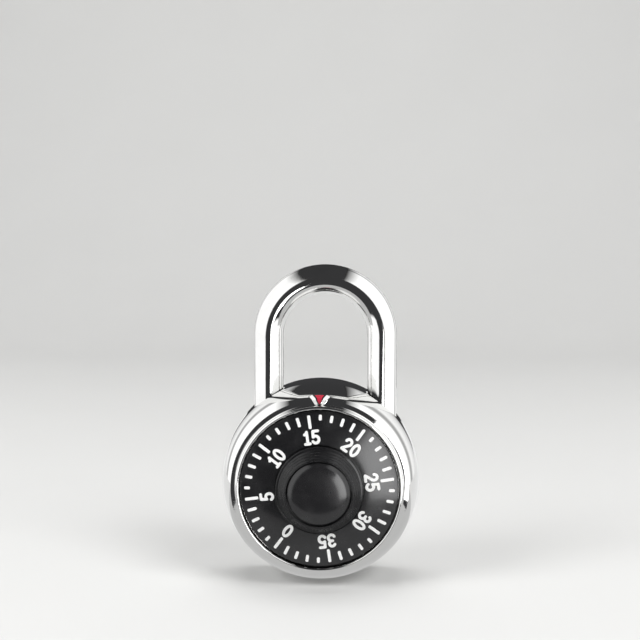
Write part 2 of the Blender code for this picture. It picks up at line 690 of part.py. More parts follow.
def spacer(name, rear):
    """A washer whose inner key stands in the post's keyway, so that it can't turn."""
    half = KEY_WIDTH / 2
    tip = POST_RADIUS - KEY_REACH
    outline = arc((0, 0), SPACER_RADIUS, 0, 360, 32)[:-1]
    made = plate(name, outline, rear, rear + SPACER_WALL, "nylon")
    edge = math.degrees(math.asin(half / WHEEL_BORE))
    bore = arc((0, 0), WHEEL_BORE, -90 + edge, 270 - edge, 24)
    keyed = bore + [(-half, -tip), (half, -tip)]
    combine(made, plate(name + "_bore", keyed, rear - PAST, rear + SPACER_WALL + PAST, None))


def wave_washer():
    """A thin spring ring that rises and falls three times round the post."""
    bore, radius, steps = WHEEL_BORE + 0.1, SPACER_RADIUS - 0.2, 36
    middle = SHOULDER_TOP + WASHER_RISE
    bm = bmesh.new()
    sections = []
    for n in range(steps):
        angle = 2 * math.pi * n / steps
        depth = middle + WASHER_SWING * math.sin(3 * angle)
        section = []
        for r, half in ((bore, -1), (radius, -1), (radius, 1), (bore, 1)):
            y = -(depth + half * WASHER_WALL / 2)
            section.append(bm.verts.new((r * math.cos(angle), y, r * math.sin(angle))))
        sections.append(section)
    for n, here in enumerate(sections):
        there = sections[(n + 1) % steps]
        for k in range(4):
            bm.faces.new((here[k], here[(k + 1) % 4], there[(k + 1) % 4], there[k]))
    placed("wave_washer", closed_mesh("wave_washer", bm), "spring_steel")


def wheel_post():
    flange = SEAT + FLANGE_WALL
    floor = SPINDLE_REAR - SPINDLE_FLOOR
    profile = [
        (0, SEAT),
        (FLANGE_RADIUS, SEAT),
        (FLANGE_RADIUS, flange),
        (SHOULDER_RADIUS, flange),
        (SHOULDER_RADIUS, SHOULDER_TOP),
        (POST_RADIUS, SHOULDER_TOP),
        (POST_RADIUS, POST_TOP),
        (SPINDLE_BORE, POST_TOP),
        (SPINDLE_BORE, floor),
        (0, floor),
    ]
    post = turned("wheel_post", profile, "zinc_plate", steps=32)
    half = KEY_WIDTH / 2 + GAP
    low = (-half, SHOULDER_TOP + KEYWAY_FOOT, -POST_RADIUS - PAST)
    high = (half, POST_TOP + PAST, -(POST_RADIUS - KEY_REACH - GAP))
    combine(post, block("keyway", low, high))
    for n in range(3):
        place = on_ring(RIVET_RING, 120.0 * n)
        hole = disc(f"post_hole_{n}", RIVET_RADIUS + GAP, SEAT - PAST, flange + PAST, None, place, 12)
        combine(post, hole)
        rivet(f"post_rivet_{n + 1}", place, flange + GAP)


def rivet(name, place, head):
    """A headed rivet whose shank stands in the mounting plate."""
    profile = [
        (0, PLATE_REAR + SHANK_SET),
        (RIVET_RADIUS, PLATE_REAR + SHANK_SET),
        (RIVET_RADIUS, head),
        (RIVET_RADIUS + RIVET_REACH, head),
        (RIVET_RADIUS + RIVET_REACH - HEAD_ROUND, head + RIVET_HEAD),
        (0, head + RIVET_HEAD),
    ]
    turned(name, profile, "zinc_plate", place, 12)


def lock_stud(name, centre, radius, top, head, finish="zinc_plate"):
    """A stud on the mounting plate: a shank through the plate, a collar on it, and a pin."""
    shank = radius - STUD_STEP
    profile = [
        (0, PLATE_REAR + SHANK_SET),
        (shank, PLATE_REAR + SHANK_SET),
        (shank, SEAT),
        (head, SEAT),
        (head, SEAT + COLLAR),
        (radius, SEAT + COLLAR),
        (radius, top),
        (0, top),
    ]
    turned(name, profile, finish, centre, 20)


def mounting_plate(studs):
    base = disc("mounting_plate", PLATE_RADIUS, PLATE_REAR, PLATE_FRONT, "zinc_plate", steps=44)
    through = (PLATE_REAR - PAST, PLATE_FRONT + PAST)
    for n, (place, radius) in enumerate(studs):
        hole = disc(f"plate_hole_{n}", radius + GAP, *through, None, place, 12)
        combine(base, hole)
    reach = BAR_RADIUS + CLIP_REACH + GAP
    low = (HEEL_X - reach, through[0], CLIP_TOP - CLIP_WIDTH - 2 * GAP)
    combine(base, block("clip_slot", low, (PLATE_RADIUS + PAST, through[1], GUIDE_FOOT)))


def latch():
    """The nosed latch that stands in the toe notch, on the pivot pin."""
    arm_right = ARM_LEFT + LATCH_WIDTH
    eye = arc(PIVOT, EYE_RADIUS, 150, 370, 14)
    outline = eye + [
        (arm_right, TOE_TIP - 0.454),
        (arm_right, NOSE_TOP),
        (NOSE_TIP, NOSE_TOP),
        (NOSE_TIP, NOSE_FOOT),
        (ARM_LEFT, NOSE_FOOT - GAP),
        (ARM_LEFT, TOE_TIP - 0.2),
    ]
    front = LATCH_REAR + LATCH_WALL
    made = plate("latch", outline, LATCH_REAR, front, "zinc_plate", at=PIVOT)
    eye_hole(made, LATCH_REAR, front)


def eye_hole(target, rear, front):
    name = target.name + "_eye"
    combine(target, disc(name, PIVOT_RADIUS + GAP, rear - PAST, front + PAST, None, PIVOT, 20))


def lever():
    """The lever on the same pin, with the fence pin above the wheels and a sprung tail."""
    half = LEVER_WIDTH / 2
    heading = math.degrees(math.atan2(FENCE[1] - PIVOT[1], FENCE[0] - PIVOT[0]))
    tail = math.degrees(math.atan2(TAIL[1] - FENCE[1], TAIL[0] - FENCE[0]))
    bend = (heading - tail) / 2
    mitre = half / math.cos(math.radians(bend))
    outline = arc(PIVOT, EYE_RADIUS, heading + 128, heading + 232, 10)
    outline += arc(FENCE, mitre, tail + bend - 90, tail + bend - 90, 1)[:1]
    outline += arc(TAIL, half, tail - 90, tail + 90, 8)
    outline += arc(FENCE, mitre, tail + bend + 90, tail + bend + 90, 1)[:1]
    made = plate("lever", outline, LEVER_REAR, LEVER_FRONT, "zinc_plate", at=PIVOT)
    eye_hole(made, LEVER_REAR, LEVER_FRONT)
    rear, front = LEVER_REAR - PAST, LEVER_FRONT + PAST
    combine(made, disc("fence_hole", FENCE_RADIUS + GAP, rear, front, None, FENCE, 16))
    collar = LEVER_FRONT + GAP
    profile = [
        (0, LEVER_REAR),
        (FENCE_RADIUS, LEVER_REAR),
        (FENCE_RADIUS, collar),
        (FENCE_RADIUS + 0.7, collar),
        (FENCE_RADIUS + 0.7, collar + COLLAR_WALL),
        (FENCE_RADIUS, collar + COLLAR_WALL),
        (FENCE_RADIUS, FENCE_END),
        (0, FENCE_END),
    ]
    turned("fence_pin", profile, "zinc_plate", FENCE, 20, at=PIVOT)


def springs(spring_post):
    """The latch's torsion spring round the pin, and the lever's compression spring."""
    per_turn = 14
    rear = SEAT + COLLAR + GAP
    pitch = (LATCH_REAR - LATCH_WIRE - GAP * 0.75 - rear) / LATCH_TURNS
    steps = int(LATCH_TURNS * per_turn)
    winding = []
    for n in range(steps + 1):
        angle = math.radians(180 - 360 * n / per_turn)
        x, z = PIVOT[0] + LATCH_COIL * math.cos(angle), PIVOT[1] + LATCH_COIL * math.sin(angle)
        winding.append((x, rear + pitch * n / per_turn, z))
    fixed = [(PIVOT[0] - LATCH_COIL, rear, spring_post[1] - 1.0)]
    free = [(ARM_LEFT + 0.73, rear + pitch * LATCH_TURNS, TOE_TIP + 0.246)]
    wire("latch_spring", fixed + winding + free, LATCH_WIRE, "spring_steel")
    per_turn = 12
    depth = LEVER_REAR + LEVER_WALL / 2
    foot = SPRING_SEAT[1] + SEAT_RADIUS + GAP + LEVER_WIRE
    top = TAIL[1] - LEVER_WIDTH / 2 - 2 * GAP
    steps = int(LEVER_TURNS * per_turn)
    winding = []
    for n in range(steps + 1):
        angle = math.radians(360 * n / per_turn)
        x = TAIL[0] + LEVER_COIL * math.cos(angle)
        y = depth + LEVER_COIL * math.sin(angle)
        winding.append((x, y, foot + (top - foot) * n / steps))
    wire("lever_spring", winding, LEVER_WIRE, "spring_steel")


def lock_work():
    spring_post = (PIVOT[0] + HOOK_PLACE[0], PIVOT[1] + HOOK_PLACE[1])
    clip = LEVER_FRONT + GAP
    pin_top = clip + RING_WALL + GAP
    lock_stud("pivot_pin", PIVOT, PIVOT_RADIUS, pin_top, EYE_RADIUS - PIN_STEP, "brass")
    ring("pivot_ring", PIVOT_RADIUS + GAP, EYE_RADIUS, clip, clip + RING_WALL, "spring_steel", PIVOT, 20)
    lock_stud("spring_post", spring_post, HOOK_RADIUS, SEAT + HOOK_HEIGHT, HOOK_HEAD)
    lock_stud("spring_seat", SPRING_SEAT, SEAT_RADIUS, LEVER_FRONT, SEAT_HEAD)
    pins = ((PIVOT, PIVOT_RADIUS), (spring_post, HOOK_RADIUS), (SPRING_SEAT, SEAT_RADIUS))
    studs = [(place, radius - STUD_STEP) for place, radius in pins]
    studs += [(on_ring(RIVET_RING, 120.0 * n), RIVET_RADIUS) for n in range(3)]
    studs.append((guide_rivet_place(), RIVET_RADIUS))
    mounting_plate(studs)
    latch()
    lever()
    springs(spring_post)


def build():
    clear_scene()
    make_materials()
    outer_case()
    back_plate()
    inner_case()
    dial_bushing()
    shackle()
    heel_clip()
    shackle_guide()
    dial_parts()
    wheels()
    spacer("spacer_rear", WHEEL_REAR + WHEEL_WALL + GAP)
    spacer("spacer_front", MIDDLE_REAR + WHEEL_WALL + GAP)
    ring("thrust_washer", WHEEL_BORE, SPACER_RADIUS, WHEEL_REAR - 2 * GAP, WHEEL_REAR - GAP, "brass")
    wave_washer()
    wheel_post()
    lock_work()


build()
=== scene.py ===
"""Looks of a single-dial combination padlock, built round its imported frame.

The dial faces -Y, the shackle points up +Z, and the origin is the centre of the back face. Shapes
are worked out in millimetres. A depth is a distance from the back face towards the dial, so a
point at depth d lies at y = -d.
"""

import json
import math

import bmesh
import bpy
from mathutils import Matrix, Vector

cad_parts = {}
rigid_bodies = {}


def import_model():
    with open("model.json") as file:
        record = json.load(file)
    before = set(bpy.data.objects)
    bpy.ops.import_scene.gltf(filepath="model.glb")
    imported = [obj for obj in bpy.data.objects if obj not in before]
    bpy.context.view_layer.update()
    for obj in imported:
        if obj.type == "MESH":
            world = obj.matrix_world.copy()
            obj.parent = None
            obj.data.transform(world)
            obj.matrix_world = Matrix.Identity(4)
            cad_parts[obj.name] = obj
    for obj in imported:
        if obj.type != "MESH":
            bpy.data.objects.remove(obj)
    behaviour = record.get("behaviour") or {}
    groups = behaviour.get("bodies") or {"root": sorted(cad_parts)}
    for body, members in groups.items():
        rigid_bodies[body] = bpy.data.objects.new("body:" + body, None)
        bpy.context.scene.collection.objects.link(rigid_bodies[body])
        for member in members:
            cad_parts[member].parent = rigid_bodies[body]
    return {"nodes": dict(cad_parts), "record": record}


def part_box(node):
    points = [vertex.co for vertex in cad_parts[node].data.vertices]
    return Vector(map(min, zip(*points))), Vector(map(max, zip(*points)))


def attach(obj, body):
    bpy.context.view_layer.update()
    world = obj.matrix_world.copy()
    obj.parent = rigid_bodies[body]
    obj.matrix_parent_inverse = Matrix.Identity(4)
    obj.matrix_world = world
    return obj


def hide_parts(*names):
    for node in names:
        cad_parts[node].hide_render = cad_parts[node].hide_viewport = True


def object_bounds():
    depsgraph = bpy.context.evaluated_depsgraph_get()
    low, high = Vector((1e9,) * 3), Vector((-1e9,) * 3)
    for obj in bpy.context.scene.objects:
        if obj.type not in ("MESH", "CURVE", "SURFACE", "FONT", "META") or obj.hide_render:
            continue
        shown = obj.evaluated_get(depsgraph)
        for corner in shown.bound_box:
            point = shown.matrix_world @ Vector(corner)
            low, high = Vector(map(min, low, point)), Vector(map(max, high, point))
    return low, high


bl_info = {
    "name": "Combination Padlock",
    "version": (1, 0, 0),
    "blender": (4, 5, 0),
    "location": "View3D > Sidebar > Padlock",
    "description": "Builds the visible pieces, finishes and stage of a combination padlock",
    "category": "Object",
}

for start_object in list(bpy.data.objects):
    bpy.data.objects.remove(start_object, do_unlink=True)
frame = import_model()
CAD_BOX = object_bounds()

MM = 0.001

# Case, in millimetres
DOME_DROP = 5.37
DOME_RISE = 12.234
DOME_END = 61.0
SHELF_RISE = 0.12
BAND_DEPTH = 8.5
INNER_DOME_END = 60.0
CASE_WALL = 0.8
CRIMP_INSET = 1.6
CRIMP_REAR = 0.1
CRIMP_FRONT = 0.9
WEB_ROUND = 0.4
LIP_DEPTH = 21.0
LIP_OUTER = 19.95
RECESS_RADIUS = 19.1
RECESS_DEPTH = 19.4
BUSHING_HOLE = 4.1
INDEX_WIDTH = 3.2
INDEX_LENGTH = 2.6
INDEX_LIFT = 0.5
INDEX_SINK = 0.3
POINTER_RISE = 0.5
POINTER_SET = 0.02
PAINT_SINK = 0.1
POINTER_HALF = 3.5
POINTER_REACH = 3.4
FLANK_SPREAD = 0.62
HEAD_SPREAD = 0.3
TILT_REACH = 1.4

# Back plate
BACK_FLAT = 20.9
BACK_SLOPE_END = 21.8
BACK_RIM = 22.9
BACK_INSIDE = 21.4
BACK_FLOOR = 20.4
BACK_WALL = 1.0
RIM_REAR = 1.2
RIM_FRONT = 2.2

# Shackle
SHACKLE_SHIFT = 1.07
SHACKLE_DEPTH = 6.2
HOLE_GAP = 0.3
TOE_TIP = 12.954
HEEL_TIP = -7.6
TIP_CHAMFER = 0.6
TOE_HOLE_FOOT = 11.0
CUT_PAST = 1.0
HOLE_PAST = 3.0
NOTCH = ((-11.18, 18.35), (-8.23, 18.35), (-8.23, 11.58), (-11.18, 16.3))
GROOVE = (2.62, -5.6, -4.0)

# Dial and knob
DIAL_REAR = 19.7
DIAL_FACE = 20.7
DIAL_FALL = 0.6
DIAL_BEVEL = 0.25
DIAL_STEP = 10.7
DIAL_WEB = 0.5
KNOB_REAR = 20.5
KNOB_FOOT = 21.6
KNOB_FACE = 26.1
KNOB_RIM = 0.3
KNOB_SHOULDER = 0.35
CAP_GAP = 0.3
CAP_POCKET = 1.25
KNOB_RIDGES = 4
RIDGE_HALF = 0.24
CAP_REAR = 25.15
CAP_CROWN = 0.2
CAP_EDGE = 0.45
SPINDLE_HOLE = 2.3
DIVISIONS = 40
ZERO_AT = 216.0
MARKS_TURN = 0.75
MARK_LIFT = 0.035
MARK_ROUND = 0.6
MARK_SINK = 0.05
MARK_OUTER = 17.9
MARK_INNER = (14.65, 16.5, 16.15, 15.9, 15.6)
NUMBER_MIDDLE = 12.6

# Edges sharper than this, in degrees, stay sharp
SHARP_EDGE = 32.0

# Stage: places in metres, turns in degrees, powers in watts
LIGHTS = (
    ("right_light", (0.50, -0.50, 0.60), 0.45, 5.8),
    ("left_light", (-0.60, -0.40, 0.50), 0.40, 4.4),
    ("top_light", (0.0, 0.10, 0.90), 0.60, 5.0),
)
CARDS = (
    ("right_card", 59.0, 560.0, (-480.0, 1000.0), (-2300.0, 2600.0), 1.35),
    ("left_card", 297.0, 560.0, (-950.0, 440.0), (-1900.0, 2600.0), 1.3),
    ("floor_card", 180.0, 24.5, (-160.0, 160.0), (-85.0, 20.0), 0.58),
    ("rear_card", 180.0, 24.5, (-160.0, 160.0), (20.0, 300.0), 0.85),
)
SOFT_FROM = 100.0
WEDGE_CORNERS = ((22.0, 40.0), (75.0, 40.0), (75.0, 98.0), (22.0, 98.0))
WEDGE_PLACE = (-4.0, -150.0, -30.0)
WEDGE_GLOW = 5.0
CAMERA_PLACE = (0.0095, -0.3466, 0.0730)
CAMERA_DROP = 5.71
CAMERA_TURN = 1.64
CAMERA_LENS = 78.75
WORLD_GREY = (0.045, 0.045, 0.047, 1.0)


def size_of(axis, node, side=1):
    """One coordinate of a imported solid's box, in metres."""
    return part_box(node)[side][axis]


DIAL_EDGE = size_of(0, "dial_disc") / MM - DIAL_BEVEL


# ---------------------------------------------------------------- settings


class PadlockSizes(bpy.types.PropertyGroup):
    """Sizes that a user would change."""

    case_radius: bpy.props.FloatProperty(
        name="Case radius",
        description="Radius of the round case",
        default=size_of(0, "outer_case"),
        unit="LENGTH",
        precision=5,
    )
    bar_radius: bpy.props.FloatProperty(
        name="Bar radius",
        description="Radius of the shackle's round bar",
        default=0.00357,
        unit="LENGTH",
        precision=5,
    )
    leg_spacing: bpy.props.FloatProperty(
        name="Leg spacing",
        description="Distance between the centres of the shackle's legs",
        default=0.02774,
        unit="LENGTH",
        precision=5,
    )
    crown_top: bpy.props.FloatProperty(
        name="Crown height",
        description="Top of the shackle above the dial's axis",
        default=size_of(2, "shackle"),
        unit="LENGTH",
        precision=5,
    )
    dial_radius: bpy.props.FloatProperty(
        name="Dial radius",
        description="Radius of the numbered dial",
        default=size_of(0, "dial_disc"),
        unit="LENGTH",
        precision=5,
    )
    knob_radius: bpy.props.FloatProperty(
        name="Knob foot radius",
        description="Radius of the knob where it meets the dial",
        default=size_of(0, "knob"),
        unit="LENGTH",
        precision=5,
    )
    knob_top_radius: bpy.props.FloatProperty(
        name="Knob top radius",
        description="Radius of the knob at its face",
        default=0.00825,
        unit="LENGTH",
        precision=5,
    )
    cap_radius: bpy.props.FloatProperty(
        name="Cap radius",
        description="Radius of the cap let into the knob's face",
        default=size_of(0, "knob_cap"),
        unit="LENGTH",
        precision=5,
    )
    ridge_depth: bpy.props.FloatProperty(
        name="Ridge depth",
        description="Depth of the grooves round the knob",
        default=0.00035,
        unit="LENGTH",
        precision=5,
    )
    mark_width: bpy.props.FloatProperty(
        name="Mark width",
        description="Width of the dial's marks",
        default=0.00073,
        unit="LENGTH",
        precision=5,
    )
    number_height: bpy.props.FloatProperty(
        name="Number height",
        description="Height of the dial's numbers",
        default=0.0035,
        unit="LENGTH",
        precision=5,
    )


class PadlockColours(bpy.types.PropertyGroup):
    """Colours that a user would change."""

    steel: bpy.props.FloatVectorProperty(
        name="Polished steel",
        description="Colour of the case and the shackle",
        default=(0.80, 0.80, 0.79),
        subtype="COLOR",
        min=0.0,
        max=1.0,
    )
    enamel: bpy.props.FloatVectorProperty(
        name="Black enamel",
        description="Colour of the dial and the knob",
        default=(0.012, 0.012, 0.013),
        subtype="COLOR",
        min=0.0,
        max=1.0,
    )
    marks: bpy.props.FloatVectorProperty(
        name="Marks",
        description="Colour of the dial's marks and numbers",
        default=(0.96, 0.96, 0.95),
        subtype="COLOR",
        min=0.0,
        max=1.0,
    )
    index: bpy.props.FloatVectorProperty(
        name="Index",
        description="Colour of the index mark's paint",
        default=(0.42, 0.012, 0.035),
        subtype="COLOR",
        min=0.0,
        max=1.0,
    )
    floor: bpy.props.FloatVectorProperty(
        name="Floor",
        description="Colour of the floor and backdrop",
        default=(0.66, 0.66, 0.65),
        subtype="COLOR",
        min=0.0,
        max=1.0,
    )


# ---------------------------------------------------------------- finishes


class Value:
    """A socket of a shader, so that shader maths reads as Python."""

    def __init__(self, finish, socket):
        self.finish = finish
        self.socket = socket

    def maths(self, operation, first, second):
        return self.finish.add("ShaderNodeMath", {"operation": operation}, {0: first, 1: second})

    def __add__(self, other):
        return self.maths("ADD", self, other)

    def __radd__(self, other):
        return self.maths("ADD", other, self)

    def __mul__(self, other):
        return self.maths("MULTIPLY", self, other)

    def __rmul__(self, other):
        return self.maths("MULTIPLY", other, self)


class Finish:
    """A material in the making."""

    def __init__(self, name, **constants):
        self.material = bpy.data.materials.new(name)
        self.material.use_nodes = True
        self.tree = self.material.node_tree
        self.shader = self.tree.nodes["Principled BSDF"]
        for key, value in constants.items():
            self.shader.inputs[key.replace("_", " ")].default_value = value

    def add(self, kind, settings, inputs, output=0):
        """Any node: its type, settings, values or links of its sockets, and the output used."""
        node = self.tree.nodes.new(kind)
        for key, value in settings.items():
            if key == "stops":
                self.set_stops(node.color_ramp, value)
            else:
                setattr(node, key, value)
        for key, value in inputs.items():
            if isinstance(value, Value):
                self.tree.links.new(value.socket, node.inputs[key])
            else:
                node.inputs[key].default_value = value
        return Value(self, node.outputs[output])

    def set_stops(self, ramp, stops):
        while len(ramp.elements) < len(stops):
            ramp.elements.new(1.0)
        for element, (place, grey) in zip(ramp.elements, stops):
            element.position = place
            element.color = (grey, grey, grey, 1.0)

    def feed(self, **inputs):
        """Link what changes over the surface to the shader's sockets."""
        for key, value in inputs.items():
            self.tree.links.new(value.socket, self.shader.inputs[key.replace("_", " ")])

    def place(self, stretch=(1.0, 1.0, 1.0)):
        """Points of the piece in millimetres, stretched along its axes."""
        coords = self.add("ShaderNodeTexCoord", {}, {}, "Object")
        scale = tuple(1.0 / (MM * s) for s in stretch)
        return self.add("ShaderNodeMapping", {}, {"Vector": coords, "Scale": scale})

    def noise(self, scale, detail=2.0, stretch=(1.0, 1.0, 1.0), offset=0.0, roughness=0.5):
        """Noise from 0 to 1, with so many blobs to the millimetre."""
        return self.add(
            "ShaderNodeTexNoise",
            {"noise_dimensions": "4D"},
            {
                "Vector": self.place(stretch),
                "W": offset,
                "Scale": scale,
                "Detail": detail,
                "Roughness": roughness,
            },
        )

    def ramp(self, value, *stops):
        return self.add("ShaderNodeValToRGB", {"stops": stops}, {"Fac": value})

    def blend(self, factor, first, second):
        """A colour between two colours."""
        return self.add(
            "ShaderNodeMix",
            {"data_type": "RGBA"},
            {"Factor": factor, 6: (*first, 1.0), 7: (*second, 1.0)},
            2,
        )

    def bump(self, height, strength, distance=0.05):
        return self.add(
            "ShaderNodeBump",
            {},
            {"Strength": strength, "Distance": distance * MM, "Height": height},
        )


FINISHES = {}


def shade(colour, factor):
    return tuple(channel * factor for channel in colour)


def make_polished_steel(colour):
    """Bright plated steel: nearly a mirror, with faint handling marks and hairline scratches."""
    made = Finish("polished_steel", Metallic=1.0)
    smudge = made.ramp(made.noise(0.16, 4.0), (0.42, 0.0), (0.75, 1.0))
    hairline = made.ramp(made.noise(0.9, 3.0, (9.0, 9.0, 0.35), 4.0), (0.62, 0.0), (0.72, 1.0))
    crossing = made.ramp(made.noise(0.8, 3.0, (0.35, 7.0, 8.0), 8.0), (0.64, 0.0), (0.74, 1.0))
    scratch = hairline + crossing
    made.feed(
        Base_Color=made.blend(smudge * 0.6, colour, shade(colour, 0.93)),
        Roughness=0.035 + 0.05 * smudge + 0.05 * scratch,
        Normal=made.bump(scratch, 0.04),
    )
    FINISHES["polished_steel"] = made.material


def make_bar_steel(colour):
    """The shackle's steel: as bright, with draw lines along the bar and a little more wear."""
    made = Finish("bar_steel", Metallic=1.0)
    smudge = made.ramp(made.noise(0.22, 4.0, offset=2.0), (0.4, 0.0), (0.8, 1.0))
    rub = made.ramp(made.noise(1.4, 4.0, (1.0, 1.0, 6.0), 5.0), (0.55, 0.0), (0.75, 1.0))
    made.feed(
        Base_Color=made.blend(smudge, colour, shade(colour, 0.9)),
        Roughness=0.045 + 0.06 * smudge + 0.06 * rub,
        Normal=made.bump(rub, 0.05),
    )
    FINISHES["bar_steel"] = made.material


def make_enamel(name, colour, gloss, coat):
    """Glossy black enamel with a fine orange peel, a little dust and rubbed patches."""
    made = Finish(name, IOR=gloss, Coat_Weight=coat, Coat_Roughness=0.08)
    peel = made.noise(2.2, 2.0)
    rubbed = made.ramp(made.noise(0.25, 4.0, offset=3.0), (0.45, 0.0), (0.8, 1.0))
    dust = made.ramp(made.noise(5.0, 2.0, offset=6.0), (0.70, 0.0), (0.78, 1.0))
    made.feed(
        Base_Color=made.blend(dust * 0.25 + rubbed * 0.12, colour, (0.10, 0.10, 0.10)),
        Roughness=0.16 + 0.08 * rubbed + 0.12 * dust,
        Normal=made.bump(peel, 0.05),
    )
    FINISHES[name] = made.material


def make_paint(name, colour, worn):
    """Filled paint, a little uneven and worn thin in places."""
    made = Finish(name, IOR=1.5)
    uneven = made.noise(1.6, 3.0)
    thin = made.ramp(made.noise(3.4, 4.0, offset=7.0), (0.60, 0.0), (0.85, 1.0))
    made.feed(
        Base_Color=made.blend(thin, colour, worn),
        Roughness=0.32 + 0.16 * uneven,
        Normal=made.bump(uneven, 0.15),
    )
    FINISHES[name] = made.material


def make_metal(name, colour, stain, roughness, grain, stretch):
    """Plain worked metal: rolled grain, and patches that are stained or duller."""
    made = Finish(name, Metallic=1.0)
    lines = made.noise(grain, 4.0, stretch, 1.0, 0.65)
    patch = made.ramp(made.noise(0.35, 4.0, offset=9.0), (0.40, 0.0), (0.72, 1.0))
    made.feed(
        Base_Color=made.blend(patch * 0.8 + lines * 0.2, colour, stain),
        Roughness=roughness + 0.14 * patch + 0.10 * lines,
        Normal=made.bump(lines, 0.12),
    )
    FINISHES[name] = made.material


def make_nylon():
    """Natural nylon, slightly yellowed, with a fine moulded grain."""
    made = Finish("nylon", IOR=1.53)
    cloud = made.noise(0.6, 3.0)
    grain = made.noise(9.0, 2.0, offset=2.0)
    made.feed(
        Base_Color=made.blend(cloud, (0.82, 0.80, 0.73), (0.74, 0.70, 0.60)),
        Roughness=0.45 + 0.15 * grain,
        Normal=made.bump(grain, 0.1),
    )
    FINISHES["nylon"] = made.material


def make_floor(colour):
    """A seamless pale sheet with a faint tooth."""
    made = Finish("pale_sheet", IOR=1.4)
    tooth = made.noise(1.1, 3.0)
    made.feed(
        Base_Color=made.blend(made.noise(0.02, 2.0), colour, shade(colour, 0.97)),
        Roughness=0.6 + 0.15 * tooth,
        Normal=made.bump(tooth, 0.05),
    )
    FINISHES["pale_sheet"] = made.material


# ---------------------------------------------------------------- meshes


def piece(name, bm, finish, body=None, replaced=(), sharp=SHARP_EDGE):
    """An object from a bmesh in world millimetres, riding on a body of the frame."""
    bmesh.ops.remove_doubles(bm, verts=bm.verts, dist=1e-4)
    bmesh.ops.recalc_face_normals(bm, faces=bm.faces)
    if bm.calc_volume(signed=True) < 0:
        bmesh.ops.reverse_faces(bm, faces=bm.faces)
    bm.transform(Matrix.Scale(MM, 4))
    mesh = bpy.data.meshes.new(name)
    bm.to_mesh(mesh)
    bm.free()
    made = bpy.data.objects.new(name, mesh)
    bpy.context.scene.collection.objects.link(made)
    if finish:
        mesh.materials.append(FINISHES[finish])
        mesh.shade_smooth()
        mesh.set_sharp_from_angle(angle=math.radians(sharp))
    if body:
        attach(made, body)
    if replaced:
        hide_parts(*replaced)
    return made


def rounded(corners, steps=5):
    """The (radius, depth) points of a line of (radius, depth, fillet) corners, rounded."""
    line = []
    count = len(corners)
    for n, (r, d, fillet) in enumerate(corners):
        here = Vector((r, d))
        if not fillet:
            line.append((r, d))
            continue
        before = (Vector(corners[n - 1][:2]) - here).normalized()
        after = (Vector(corners[(n + 1) % count][:2]) - here).normalized()
        half = before.angle(after) / 2
        centre = here + (before + after).normalized() * (fillet / math.sin(half))
        reach = fillet / math.tan(half)
        start = here + before * reach - centre
        turn = (here + after * reach - centre).angle_signed(start)
        for k in range(steps + 1):
            spoke = start.copy()
            spoke.rotate(Matrix.Rotation(turn * k / steps, 2))
            line.append(tuple(centre + spoke))
    return line


def spun(profile, steps=192):
    """A bmesh of a (radius, depth) profile turned about the dial's axis."""
    bm = bmesh.new()
    rings = []
    for r, d in profile:
        if r < 1e-6:
            rings.append([bm.verts.new((0.0, -d, 0.0))] * steps)
            continue
        ring = []
        for k in range(steps):
            angle = 2 * math.pi * k / steps
            ring.append(bm.verts.new((r * math.sin(angle), -d, r * math.cos(angle))))
        rings.append(ring)
    pairs = list(zip(rings, rings[1:]))
    if profile[0][0] > 1e-6 or profile[-1][0] > 1e-6:
        pairs.append((rings[-1], rings[0]))
    for here, there in pairs:
        for k in range(steps):
            n = (k + 1) % steps
            corners = [here[k], here[n], there[n], there[k]]
            unique = list(dict.fromkeys(corners))
            if len(unique) > 2:
                bm.faces.new(unique)
    return bm


def extruded(outlines, place):
    """A bmesh of flat outlines made solid. place(x, z, top) gives a corner's point in space."""
    bm = bmesh.new()
    for outline in outlines:
        low = [bm.verts.new(place(x, z, False)) for x, z in outline]
        high = [bm.verts.new(place(x, z, True)) for x, z in outline]
        bm.faces.new(low)
        bm.faces.new(high)
        for n in range(len(outline)):
            m = (n + 1) % len(outline)
            bm.faces.new((low[n], low[m], high[m], high[n]))
    return bm


def quilt(across, along, place):
    """A bmesh of two sheets joined at their edges. place(i, j, top) takes shares from 0 to 1."""
    bm = bmesh.new()
    sheets = []
    for top in (True, False):
        rows = [
            [bm.verts.new(place(i / across, j / along, top)) for i in range(across + 1)]
            for j in range(along + 1)
        ]
        sheets.append(rows)
        for here, there in zip(rows, rows[1:]):
            for i in range(across):
                bm.faces.new((here[i], here[i + 1], there[i + 1], there[i]))
    high, low = sheets
    edge = [(0, i) for i in range(across)] + [(j, across) for j in range(along)]
    edge += [(along, i) for i in range(across, 0, -1)] + [(j, 0) for j in range(along, 0, -1)]
    for (a, b), (c, d) in zip(edge, edge[1:] + edge[:1]):
        bm.faces.new((high[a][b], high[c][d], low[c][d], low[a][b]))
    return bm


def cut(target, tool):
    """Take one object's shape out of another, and remove the tool."""
    change = target.modifiers.new(tool.name, "BOOLEAN")
    change.operation = "DIFFERENCE"
    change.solver = "EXACT"
    change.object = tool
    graph = bpy.context.evaluated_depsgraph_get()
    mesh = bpy.data.meshes.new_from_object(target.evaluated_get(graph))
    target.modifiers.clear()
    old, target.data = target.data, mesh
    mesh.name = target.name
    bpy.data.meshes.remove(old)
    bpy.data.objects.remove(tool, do_unlink=True)
    target.data.set_sharp_from_angle(angle=math.radians(SHARP_EDGE))


def oval(centre, across, tall, start, end, steps=24):
    """Points of an oval from one angle to another, in degrees anticlockwise from the right."""
    out = []
    for n in range(steps + 1):
        angle = math.radians(start + (end - start) * n / steps)
        out.append((centre[0] + across * math.cos(angle), centre[1] + tall * math.sin(angle)))
    return out


